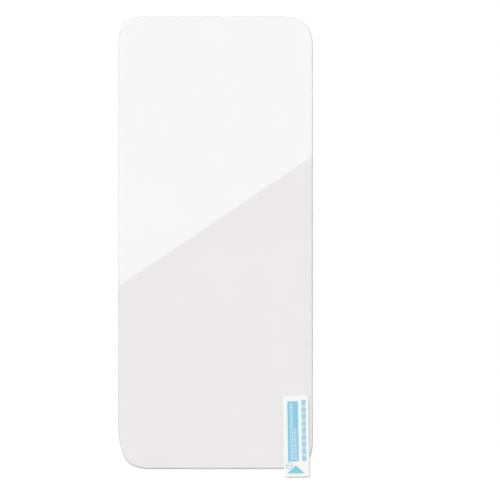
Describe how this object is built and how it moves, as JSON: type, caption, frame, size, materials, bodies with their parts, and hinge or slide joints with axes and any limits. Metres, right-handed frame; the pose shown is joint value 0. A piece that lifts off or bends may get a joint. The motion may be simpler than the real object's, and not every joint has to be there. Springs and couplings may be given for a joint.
{
  "type": "car screen protector",
  "caption": "Clear tempered glass sheet for a long car display: rounded corners, ground edge, adhesive, peel-off liner and printed white pull tab.",
  "frame": {"origin": "centre of the pane's outer face, on the surface that it lies on", "axes": "+X across the pane, +Y along it away from the pull tab, +Z out of the adhesive side, so the outer face is down"},
  "size_m": [0.1134, 0.2688, 0.0007],
  "materials": {
    "glass": "polished, with a ground and polished rim",
    "clear_adhesive": "clear soft silicone",
    "clear_film": "clear glossy film",
    "tab_stock": "satin white",
    "tab_ink": "light blue print"
  },
  "bodies": {
    "root": {"glass_pane": "glass", "adhesive_layer": "clear_adhesive", "release_liner": "clear_film", "pull_tab": "tab_stock", "tab_print": "tab_ink"}
  },
  "joints": []
}
